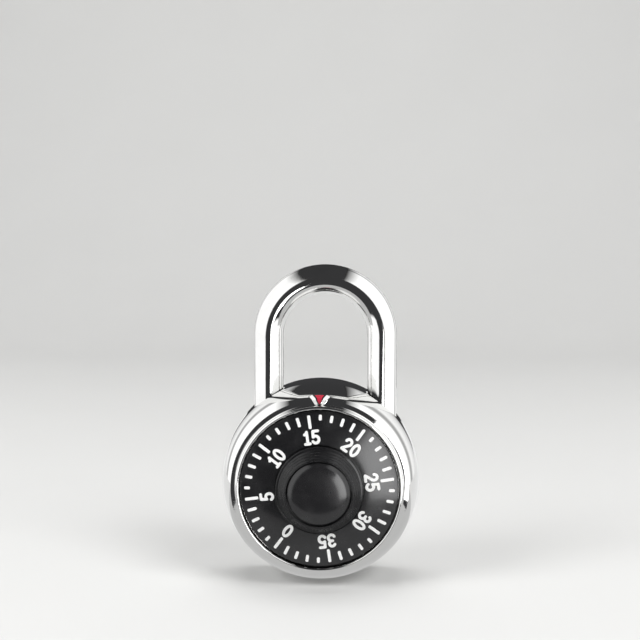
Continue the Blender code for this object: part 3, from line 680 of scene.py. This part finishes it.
# Middle lines of the digits' strokes, in a box of height 1
STROKE_HALF = 0.098
DIGIT_SPACE = 0.05
DIGIT_WIDTHS = {"0": 0.60, "1": 0.50, "2": 0.60, "3": 0.59, "5": 0.59}
DIGITS = {
    "0": [oval((0.30, 0.50), 0.202, 0.402, 0, 360, 48)],
    "1": [
        [(0.12, 0.74), (0.20, 0.78), (0.27, 0.902), (0.27, 0.098)],
        [(0.10, 0.098), (0.42, 0.098)],
    ],
    "2": [
        oval((0.295, 0.675), 0.197, 0.227, 170, -30) + [(0.115, 0.125), (0.115, 0.098)],
        [(0.115, 0.098), (0.50, 0.098)],
    ],
    "3": [
        oval((0.28, 0.712), 0.19, 0.19, 155, -90),
        oval((0.28, 0.312), 0.212, 0.214, 90, -158),
        [(0.22, 0.522), (0.29, 0.522)],
    ],
    "5": [
        [(0.48, 0.902), (0.15, 0.902), (0.125, 0.52)]
        + oval((0.27, 0.335), 0.222, 0.237, 128, -152),
    ],
}


def stroke_outline(strokes, cell=0.018):
    """Closed loops round thick strokes: where the distance to their middle lines is half a width."""
    lines = [(Vector(a), Vector(b)) for stroke in strokes for a, b in zip(stroke, stroke[1:])]

    def gap(i, j):
        point = Vector(((i - 4) * cell, (j - 4) * cell))
        nearest = 9.0
        for a, b in lines:
            along = b - a
            t = max(0.0, min(1.0, (point - a).dot(along) / along.length_squared))
            nearest = min(nearest, (point - a - along * t).length)
        return nearest - STROKE_HALF

    wide, tall = int(0.75 / cell) + 4, int(1.0 / cell) + 8
    field = [[gap(i, j) for j in range(tall + 1)] for i in range(wide + 1)]
    following, points = {}, {}
    for i in range(wide):
        for j in range(tall):
            ring = [(i, j), (i + 1, j), (i + 1, j + 1), (i, j + 1)]
            leaving, entering = [], []
            for a, b in zip(ring, ring[1:] + ring[:1]):
                here, there = field[a[0]][a[1]], field[b[0]][b[1]]
                if (here < 0) == (there < 0):
                    continue
                key = (min(a, b), max(a, b))
                t = here / (here - there)
                spot = Vector(a).lerp(Vector(b), t)
                points[key] = ((spot.x - 4) * cell, (spot.y - 4) * cell)
                (leaving if here < 0 else entering).append(key)
            following.update(zip(leaving, entering))
    loops = []
    while following:
        start, here = following.popitem()
        loop = [points[start]]
        while here != start:
            loop.append(points[here])
            here = following.pop(here)
        loops.append(loop)
    return loops


def upright_bar(name, radius, x, foot, top):
    bm = bmesh.new()
    bmesh.ops.create_cone(
        bm,
        cap_ends=True,
        segments=96,
        radius1=radius,
        radius2=radius,
        depth=top - foot,
        matrix=Matrix.Translation((x, -SHACKLE_DEPTH, (foot + top) / 2)),
    )
    return piece(name, bm, None)


def dome(degrees, radius, inset=0.0):
    """A (radius, depth) point of the case's dome, or of the surface inset behind it."""
    c, s = math.cos(math.radians(degrees)), math.sin(math.radians(degrees))
    normal = Vector((c / DOME_DROP, s / DOME_RISE)).normalized()
    return (
        radius - DOME_DROP * (1 - c) - normal.x * inset,
        BAND_DEPTH + DOME_RISE * s - normal.y * inset,
    )


def face_depth(radius):
    """Depth of the dial's shallow cone at a radius."""
    return DIAL_FACE - DIAL_FALL * (radius - DIAL_STEP) / (DIAL_EDGE - DIAL_STEP)


# ---------------------------------------------------------------- operators


class PADLOCK_OT_finishes(bpy.types.Operator):
    """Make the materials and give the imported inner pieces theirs"""

    bl_idname = "padlock.finishes"
    bl_label = "Finishes"

    def execute(self, context):
        colours = context.scene.padlock_colours
        make_polished_steel(tuple(colours.steel))
        make_bar_steel(tuple(colours.steel))
        make_enamel("black_enamel", tuple(colours.enamel), 1.5, 0.3)
        # The knob's grip uses the dial's black enamel darkened to 0.7. This is painted shade, so
        # that the flank reads darker than the dial.
        make_enamel("knob_enamel_painted_shade", shade(colours.enamel, 0.7), 1.43, 0.0)
        make_paint("mark_paint", tuple(colours.marks), shade(colours.marks, 0.8))
        make_paint("index_paint", tuple(colours.index), shade(colours.index, 0.5))
        make_metal("zinc_plate", (0.62, 0.63, 0.62), (0.47, 0.48, 0.46), 0.26, 2.5, (1, 1, 8))
        make_metal("brass", (0.78, 0.58, 0.28), (0.55, 0.38, 0.17), 0.22, 2.5, (8, 1, 1))
        make_metal("spring_steel", (0.42, 0.42, 0.44), (0.25, 0.24, 0.25), 0.24, 4.0, (1, 1, 1))
        make_nylon()
        make_floor(tuple(colours.floor))
        inner = {part["node"]: part["material_slot"] for part in frame["record"]["subparts"]}
        for name, node in frame["nodes"].items():
            finish = FINISHES.get(inner[name], FINISHES["polished_steel"])
            node.data.materials.clear()
            node.data.materials.append(finish)
        return {"FINISHED"}


class PADLOCK_OT_case(bpy.types.Operator):
    """Build the polished case with its rolled lip and the holes for the legs"""

    bl_idname = "padlock.case"
    bl_label = "Case"

    def execute(self, context):
        sizes = context.scene.padlock_sizes
        radius = sizes.case_radius / MM
        outer = [(*dome(DOME_END * n / 28, radius), 0.0) for n in range(29)]
        inner = [(*dome(INNER_DOME_END * n / 8, radius, CASE_WALL), 0.0) for n in range(9)]
        web = RECESS_DEPTH - CASE_WALL
        corners = [
            (radius - CASE_WALL, CRIMP_FRONT, 0.0),
            (radius - CRIMP_INSET, CRIMP_FRONT, 0.1),
            (radius - CRIMP_INSET, CRIMP_REAR, 0.12),
            (radius, CRIMP_REAR, 0.8),
            *outer,
            (LIP_OUTER, outer[-1][1] + SHELF_RISE, 0.3),
            (LIP_OUTER, LIP_DEPTH, 0.4),
            (RECESS_RADIUS, LIP_DEPTH, 0.4),
            (RECESS_RADIUS, RECESS_DEPTH, 0.2),
            (BUSHING_HOLE, RECESS_DEPTH, 0.0),
            (BUSHING_HOLE, web, 0.0),
            (inner[-1][0] - WEB_ROUND, web, 0.0),
            *reversed(inner),
        ]
        shell = piece(
            "case_shell",
            spun(rounded(corners), 200),
            "polished_steel",
            "case",
            ["outer_case"],
        )
        hole = sizes.bar_radius / MM + HOLE_GAP
        half = sizes.leg_spacing / MM / 2
        top = radius + HOLE_PAST
        for name, x, foot in (
            ("toe_hole", SHACKLE_SHIFT - half, TOE_HOLE_FOOT),
            ("heel_hole", SHACKLE_SHIFT + half, HEEL_TIP - HOLE_PAST),
        ):
            cut(shell, upright_bar(name, hole, x, foot, top))
        return {"FINISHED"}


class PADLOCK_OT_index(bpy.types.Operator):
    """Build the raised pointer above the dial and its painted triangle"""

    bl_idname = "padlock.index"
    bl_label = "Index mark"

    def execute(self, context):
        radius = context.scene.padlock_sizes.case_radius / MM
        line = [Vector((LIP_OUTER, dome(DOME_END, radius)[1] + SHELF_RISE))]
        line += [Vector(dome(DOME_END - n, radius)) for n in range(36)]

        def on_dome(u, v, height):
            """A point so far across and so far out from the lip, so high above the case."""
            left = v
            for here, there in zip(line, line[1:]):
                step = (there - here).length
                if left <= step or there is line[-1]:
                    break
                left -= step
            along = (there - here) / step
            spot = here + along * left
            tilt = min(v / TILT_REACH, 1.0)
            normal = Vector((-along.y * tilt, along.x)).normalized()
            r, d = spot + normal * height
            return (r * math.sin(u / r), -d, r * math.cos(u / r))

        def swell(u, v):
            """Height of the pointer: a flat wedge with flared flanks."""
            half = INDEX_WIDTH / 2 * min(v / INDEX_LENGTH, 1.0)
            side = max(abs(u) - half, 0.0)
            end = max(v - INDEX_LENGTH, 0.0)
            flare = math.exp(-((side / FLANK_SPREAD) ** 2) - (end / HEAD_SPREAD) ** 2)
            rise = min(v / POINTER_RISE, 1.0)
            return INDEX_LIFT * flare * rise - POINTER_SET

        def pointer(i, j, top):
            u, v = POINTER_HALF * (2 * i - 1), POINTER_REACH * j
            return on_dome(u, v, swell(u, v) if top else -INDEX_SINK)

        bm = quilt(80, 56, pointer)
        piece("index_pointer", bm, "polished_steel", "case")
        for name, width, foot, head, lift, finish in (
            ("index_surround", 3.0, 0.1, 2.6, 0.02, "black_enamel"),
            ("index_paint", 2.2, 0.25, 2.4, 0.04, "index_paint"),
        ):

            def painted(i, j, top):
                v = foot + (head - foot) * j
                u = (2 * i - 1) * width / 2 * max(j, 0.04)
                return on_dome(u, v, swell(u, v) + (lift if top else -PAINT_SINK))

            piece(name, quilt(12, 20, painted), finish, "case")
        return {"FINISHED"}


class PADLOCK_OT_back(bpy.types.Operator):
    """Build the dished back plate inside the case's rolled edge"""

    bl_idname = "padlock.back"
    bl_label = "Back plate"

    def execute(self, context):
        corners = [
            (0.0, 0.0, 0.0),
            (BACK_FLAT, 0.0, 0.4),
            (BACK_SLOPE_END, RIM_REAR, 0.3),
            (BACK_RIM, RIM_REAR, 0.05),
            (BACK_RIM, RIM_FRONT, 0.1),
            (BACK_INSIDE, RIM_FRONT, 0.3),
            (BACK_FLOOR, BACK_WALL, 0.3),
            (0.0, BACK_WALL, 0.0),
        ]
        bm = spun(rounded(corners), 192)
        piece("back_cover", bm, "polished_steel", "case", ["back_plate"])
        return {"FINISHED"}


class PADLOCK_OT_shackle(bpy.types.Operator):
    """Bend the shackle from round bar, then cut the latch's notch and the clip's groove"""

    bl_idname = "padlock.shackle"
    bl_label = "Shackle"

    def execute(self, context):
        sizes = context.scene.padlock_sizes
        bar = sizes.bar_radius / MM
        bow = sizes.leg_spacing / MM / 2
        toe, heel = SHACKLE_SHIFT - bow, SHACKLE_SHIFT + bow
        bow_centre = sizes.crown_top / MM - bar - bow
        tip = [
            (TIP_CHAMFER * k / 4, bar - TIP_CHAMFER * (1 - math.sin(math.pi * k / 8)))
            for k in range(5)
        ]
        stations = [(toe, TOE_TIP + rise, 0.0, radius) for rise, radius in tip]
        stations += [
            (toe, TOE_TIP + 1 + (bow_centre - TOE_TIP - 1) * k / 12, 0.0, bar) for k in range(12)
        ]
        for n in range(97):
            heading = 180.0 * n / 96
            angle = math.radians(heading)
            x = SHACKLE_SHIFT - bow * math.cos(angle)
            stations.append((x, bow_centre + bow * math.sin(angle), heading, bar))
        stations += [
            (heel, bow_centre + (HEEL_TIP + 1 - bow_centre) * k / 20, 180.0, bar)
            for k in range(1, 21)
        ]
        stations += [(heel, HEEL_TIP + rise, 180.0, radius) for rise, radius in reversed(tip)]
        bm = bmesh.new()
        rings = []
        sides = 64
        for x, z, heading, radius in stations:
            angle = math.radians(heading)
            across = Vector((math.cos(angle), 0.0, -math.sin(angle)))
            centre = Vector((x, -SHACKLE_DEPTH, z))
            ring = []
            for k in range(sides):
                turn = 2 * math.pi * k / sides
                offset = across * math.cos(turn) + Vector((0.0, math.sin(turn), 0.0))
                ring.append(bm.verts.new(centre + offset * radius))
            rings.append(ring)
        for here, there in zip(rings, rings[1:]):
            for k in range(sides):
                n = (k + 1) % sides
                bm.faces.new((here[k], here[n], there[n], there[k]))
        bm.faces.new(rings[0])
        bm.faces.new(rings[-1])
        made = piece("shackle_bow", bm, "bar_steel", "shackle", ["shackle"])

        def notch_place(x, z, top):
            return (x, -SHACKLE_DEPTH + (bar + CUT_PAST) * (-1 if top else 1), z)

        cut(made, piece("toe_notch", extruded([NOTCH], notch_place), None))
        inner, low, high = GROOVE
        bm = bmesh.new()
        outer = bar + CUT_PAST
        profile = ((inner, low), (outer, low), (outer, high), (inner, high))
        rings = []
        for r, z in profile:
            ring = []
            for k in range(96):
                turn = 2 * math.pi * k / 96
                offset = (r * math.cos(turn), r * math.sin(turn))
                ring.append(bm.verts.new((heel + offset[0], offset[1] - SHACKLE_DEPTH, z)))
            rings.append(ring)
        for here, there in zip(rings, rings[1:] + rings[:1]):
            for k in range(96):
                n = (k + 1) % 96
                bm.faces.new((here[k], here[n], there[n], there[k]))
        cut(made, piece("clip_groove", bm, None))
        return {"FINISHED"}


class PADLOCK_OT_dial(bpy.types.Operator):
    """Build the black dial with its marks and numbers"""

    bl_idname = "padlock.dial"
    bl_label = "Dial"

    def execute(self, context):
        sizes = context.scene.padlock_sizes
        radius = sizes.dial_radius / MM
        corners = [
            (SPINDLE_HOLE, DIAL_REAR, 0.0),
            (radius, DIAL_REAR, 0.1),
            (radius, DIAL_FACE - DIAL_FALL, 0.2),
            (DIAL_STEP, DIAL_FACE, 0.06),
            (DIAL_STEP, DIAL_REAR + DIAL_WEB, 0.0),
            (SPINDLE_HOLE, DIAL_REAR + DIAL_WEB, 0.0),
        ]
        bm = spun(rounded(corners), 256)
        piece("dial_face", bm, "black_enamel", "dial", ["dial_disc"])
        self.marks(sizes)
        self.numbers(sizes)
        return {"FINISHED"}

    def marks(self, sizes):
        """Forty marks, longer step by step towards each number, as in a ratchet's teeth."""
        half = sizes.mark_width / MM / 2
        bm = bmesh.new()
        for k in range(DIVISIONS):
            turn = math.radians(ZERO_AT + MARKS_TURN + 360.0 * k / DIVISIONS)
            outline = []
            for end, sign in ((MARK_OUTER, 1), (MARK_INNER[k % 5], -1)):
                for n in range(9):
                    angle = math.pi * n / 8 - (0 if sign > 0 else math.pi)
                    rise = abs(math.sin(angle)) ** MARK_ROUND * half
                    outline.append((half * math.cos(angle), end - sign * (half - rise)))
            self.lay(bm, [outline], turn)
        piece("dial_marks", bm, "mark_paint", "dial")

    def lay(self, bm, outlines, turn):
        """Add a flat shape, given upright at the top of the dial, turned round to its place.

        An outline inside another is a hole.
        """
        sheets = []
        for lift in (-MARK_SINK, MARK_LIFT):
            edges, sheet = [], []
            for outline in outlines:
                loop = []
                for x, z in outline:
                    r = math.hypot(x, z)
                    angle = math.atan2(x, z) + turn
                    depth = face_depth(r) + lift
                    loop.append(bm.verts.new((r * math.sin(angle), -depth, r * math.cos(angle))))
                edges += [bm.edges.new(pair) for pair in zip(loop, loop[1:] + loop[:1])]
                sheet.append(loop)
            bmesh.ops.triangle_fill(bm, use_beauty=True, edges=edges, normal=(0.0, -1.0, 0.0))
            sheets.append(sheet)
        for low, high in zip(*sheets):
            for n in range(len(low)):
                m = (n + 1) % len(low)
                bm.faces.new((low[n], low[m], high[m], high[n]))

    def numbers(self, sizes):
        """The dial's numbers, tops outwards, each centred on its long mark."""
        tall = sizes.number_height / MM
        loops = {digit: stroke_outline(strokes) for digit, strokes in DIGITS.items()}
        bm = bmesh.new()
        for value in range(0, DIVISIONS, 5):
            turn = math.radians(ZERO_AT + MARKS_TURN + 360.0 * value / DIVISIONS)
            text = str(value)
            wide = sum(DIGIT_WIDTHS[digit] for digit in text) + DIGIT_SPACE * (len(text) - 1)
            left = -wide / 2
            for digit in text:
                outlines = [
                    [((x + left) * tall, NUMBER_MIDDLE + (z - 0.5) * tall) for x, z in loop]
                    for loop in loops[digit]
                ]
                self.lay(bm, outlines, turn)
                left += DIGIT_WIDTHS[digit] + DIGIT_SPACE
        piece("dial_numbers", bm, "mark_paint", "dial")


class PADLOCK_OT_knob(bpy.types.Operator):
    """Build the ridged knob and the crowned cap in its face"""

    bl_idname = "padlock.knob"
    bl_label = "Knob"

    def execute(self, context):
        sizes = context.scene.padlock_sizes
        foot = sizes.knob_radius / MM
        top = sizes.knob_top_radius / MM
        cap = sizes.cap_radius / MM
        rim = KNOB_FACE - KNOB_RIM
        start = foot - KNOB_SHOULDER
        corners = [
            (SPINDLE_HOLE, KNOB_REAR, 0.0),
            (foot, KNOB_REAR, 0.1),
            (foot, KNOB_FOOT, 0.2),
        ]
        steps = KNOB_RIDGES * 24
        for n in range(2, steps + 1):
            t = n / steps
            along = abs(t * KNOB_RIDGES % 1.0 - 0.5) / RIDGE_HALF
            hollow = 1 - math.sqrt(max(1 - along**2, 0.0))
            radius = start + (top - start) * t - hollow * sizes.ridge_depth / MM
            corners.append((radius, KNOB_FOOT + (rim - KNOB_FOOT) * t, 0.0))
        corners += [
            (top - 0.1, KNOB_FACE, 0.2),
            (cap + CAP_GAP, KNOB_FACE, 0.08),
            (cap + CAP_GAP, KNOB_FACE - CAP_POCKET, 0.0),
            (SPINDLE_HOLE, KNOB_FACE - CAP_POCKET, 0.0),
        ]
        bm = spun(rounded(corners), 192)
        piece("knob_grip", bm, "knob_enamel_painted_shade", "dial", ["knob"])
        crown = []
        for n in range(24, -1, -1):
            share = n / 24
            fall = CAP_CROWN * share**2 + CAP_EDGE * share**8
            crown.append((cap * share, KNOB_FACE + CAP_CROWN - fall))
        bm = spun([(0.0, CAP_REAR), (cap, CAP_REAR), *crown], 160)
        piece("knob_face", bm, "black_enamel", "dial", ["knob_cap"])
        return {"FINISHED"}


class PADLOCK_OT_stage(bpy.types.Operator):
    """Lay the pale floor and set the lights, cards and camera"""

    bl_idname = "padlock.stage"
    bl_label = "Stage"

    def execute(self, context):
        self.floor()
        self.lights()
        self.cards()
        self.camera(context.scene)
        return {"FINISHED"}

    def floor(self):
        """A sheet that runs under the lock and curves up behind it."""
        low = CAD_BOX[0].z / MM
        front, back, bend, tall, half = -1200.0, 420.0, 260.0, 1300.0, 1500.0
        line = [(front, low)]
        line += [
            (back + bend * math.sin(a), low + bend * (1 - math.cos(a)))
            for a in (math.pi / 2 * n / 24 for n in range(25))
        ]
        line.append((back + bend, tall))
        bm = bmesh.new()
        sides = [[bm.verts.new((x, y, z)) for y, z in line] for x in (-half, half)]
        for n in range(len(line) - 1):
            bm.faces.new((sides[0][n], sides[1][n], sides[1][n + 1], sides[0][n + 1]))
        sheet = piece("floor_sheet", bm, "pale_sheet", sharp=180.0)
        sheet.visible_glossy = False

    def lights(self):
        for name, place, size, power in LIGHTS:
            light = bpy.data.lights.new(name, "AREA")
            light.energy = power
            light.size = size
            made = bpy.data.objects.new(name, light)
            made.location = place
            made.rotation_euler = (-Vector(place)).to_track_quat("-Z", "Y").to_euler()
            made.visible_glossy = False
            bpy.context.scene.collection.objects.link(made)

    def cards(self):
        """Bright and dark cards that only reflections see."""
        for name, turn, distance, ends, depths, grey in CARDS:
            angle = math.radians(turn)
            out = Vector((math.sin(angle), 0.0, math.cos(angle)))
            along = Vector((math.cos(angle), 0.0, -math.sin(angle)))
            bm = bmesh.new()
            corners = [
                out * distance + along * ends[side] + Vector((0.0, depths[far], 0.0))
                for side, far in ((0, 0), (1, 0), (1, 1), (0, 1))
            ]
            bm.faces.new([bm.verts.new(corner) for corner in corners])
            self.card(name, bm, grey, soft=distance > SOFT_FROM)
        # A small bright card in front, which the dial and the knob's face catch on the right
        bm = bmesh.new()
        corners = []
        x, y, z = WEDGE_PLACE
        for reach, turn in WEDGE_CORNERS:
            angle = math.radians(turn)
            corners.append((reach * math.sin(angle) + x, y, reach * math.cos(angle) + z))
        bm.faces.new([bm.verts.new(corner) for corner in corners])
        self.card("wedge_card", bm, WEDGE_GLOW, soft=False)

    def card(self, name, bm, grey, soft):
        made = piece(name, bm, None)
        glow = Finish(name + "_glow", Roughness=1.0)
        glow.shader.inputs["Base Color"].default_value = (0.0, 0.0, 0.0, 1.0)
        glow.shader.inputs["Emission Color"].default_value = (1.0, 1.0, 1.0, 1.0)
        if soft:
            coords = glow.add("ShaderNodeTexCoord", {}, {}, "Generated")
            across = glow.add("ShaderNodeSeparateXYZ", {}, {"Vector": coords}, "X")
            depth = glow.add("ShaderNodeSeparateXYZ", {}, {"Vector": coords}, "Y")
            ends = glow.ramp(across, (0.0, 0.0), (0.12, 1.0), (0.88, 1.0), (1.0, 0.0))
            bands = ((0.0, 0.0), (0.08, 1.0), (0.53, 1.0), (0.55, 0.35), (0.57, 0.35))
            front = glow.ramp(depth, *bands, (0.60, 0.85), (0.75, 0.6), (1.0, 0.25))
            glow.feed(Emission_Color=ends * front)
        glow.shader.inputs["Emission Strength"].default_value = grey
        made.data.materials.append(glow.material)
        made.visible_camera = False
        made.visible_diffuse = False
        made.visible_shadow = False

    def camera(self, scene):
        lens = bpy.data.cameras.new("camera")
        lens.sensor_width = 36.0
        lens.lens = CAMERA_LENS
        made = bpy.data.objects.new("camera", lens)
        made.location = CAMERA_PLACE
        made.rotation_euler = (math.radians(90 - CAMERA_DROP), 0.0, math.radians(CAMERA_TURN))
        scene.collection.objects.link(made)
        scene.camera = made
        world = bpy.data.worlds.new("studio")
        world.use_nodes = True
        sky = world.node_tree.nodes["Background"]
        sky.inputs["Color"].default_value = WORLD_GREY
        sky.inputs["Strength"].default_value = 1.0
        scene.world = world
        scene.view_settings.view_transform = "Standard"


class PADLOCK_PT_pieces(bpy.types.Panel):
    """The padlock's pieces and settings"""

    bl_idname = "PADLOCK_PT_pieces"
    bl_label = "Combination padlock"
    bl_space_type = "VIEW_3D"
    bl_region_type = "UI"
    bl_category = "Padlock"

    def draw(self, context):
        for settings in (context.scene.padlock_sizes, context.scene.padlock_colours):
            column = self.layout.column()
            for name in settings.__annotations__:
                column.prop(settings, name)
        for operator in OPERATORS:
            self.layout.operator(operator.bl_idname)


OPERATORS = (
    PADLOCK_OT_finishes,
    PADLOCK_OT_case,
    PADLOCK_OT_index,
    PADLOCK_OT_back,
    PADLOCK_OT_shackle,
    PADLOCK_OT_dial,
    PADLOCK_OT_knob,
    PADLOCK_OT_stage,
)
CLASSES = (PadlockSizes, PadlockColours, *OPERATORS, PADLOCK_PT_pieces)


def register():
    for made in CLASSES:
        bpy.utils.register_class(made)
    bpy.types.Scene.padlock_sizes = bpy.props.PointerProperty(type=PadlockSizes)
    bpy.types.Scene.padlock_colours = bpy.props.PointerProperty(type=PadlockColours)


def unregister():
    del bpy.types.Scene.padlock_colours
    del bpy.types.Scene.padlock_sizes
    for made in reversed(CLASSES):
        bpy.utils.unregister_class(made)


def main():
    register()
    bpy.ops.padlock.finishes()
    bpy.ops.padlock.case()
    bpy.ops.padlock.index()
    bpy.ops.padlock.back()
    bpy.ops.padlock.shackle()
    bpy.ops.padlock.dial()
    bpy.ops.padlock.knob()
    bpy.ops.padlock.stage()


if __name__ == "__main__":
    main()
